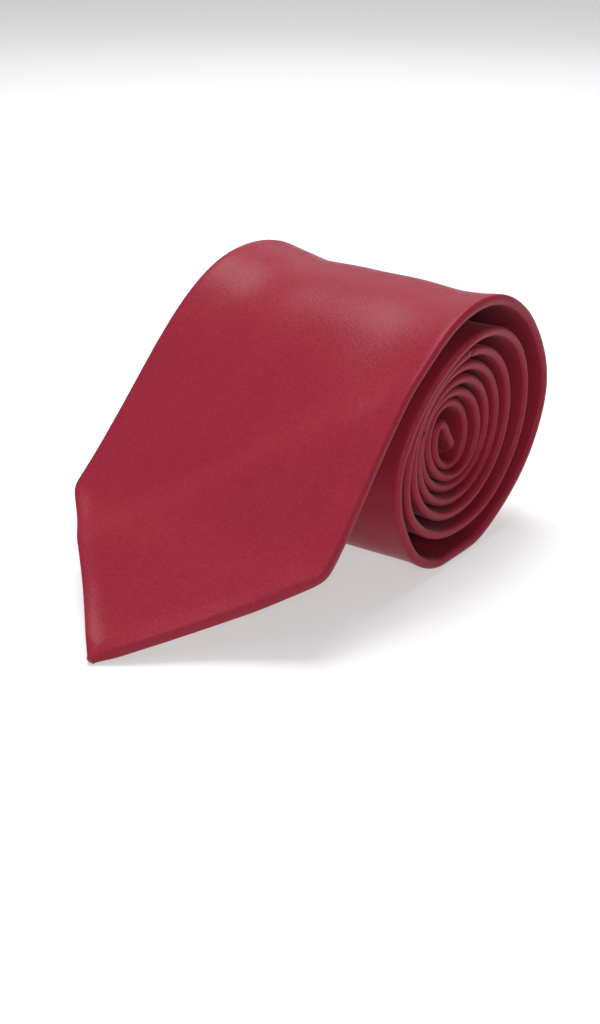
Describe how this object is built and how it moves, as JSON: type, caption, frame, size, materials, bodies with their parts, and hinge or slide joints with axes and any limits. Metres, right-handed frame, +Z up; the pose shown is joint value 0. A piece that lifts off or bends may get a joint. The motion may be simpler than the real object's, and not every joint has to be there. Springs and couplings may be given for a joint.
{
  "type": "necktie",
  "caption": "Classic wide necktie in plain satin, rolled up from the narrow tail with the pointed blade draped in front.",
  "frame": {"origin": "middle of the rolled tie's outline, on the surface it rests on", "axes": "+X along the axis of the roll, towards the end whose turns are nearly flush; -Y the way the blade's point faces; +Z up"},
  "size_m": [0.0846, 0.1421, 0.072],
  "materials": {
    "satin": "deep red polyester satin with a fine twill grain and a soft sheen",
    "interlining": "undyed brushed wool blend",
    "tipping": "thin plain lining cloth in the same red",
    "label": "blank woven ribbon, no lettering",
    "thread": "matching spun polyester thread"
  },
  "bodies": {
    "root": {"blade_shell": "satin", "neck_shell": "satin", "tail_shell": "satin", "keeper_loop": "satin", "blade_interlining": "interlining", "tail_interlining": "interlining", "blade_tipping": "tipping", "tail_tipping": "tipping", "blank_label": "label", "slip_stitch_thread": "thread", "spare_thread_loop": "thread", "blade_bar_tack": "thread", "tail_bar_tack": "thread", "keeper_loop_stitches": "thread", "label_stitches": "thread", "interlining_join_stitches": "thread", "blade_tipping_stitches": "thread", "tail_tipping_stitches": "thread", "blade_neck_seam": "thread", "neck_tail_seam": "thread"}
  },
  "joints": []
}
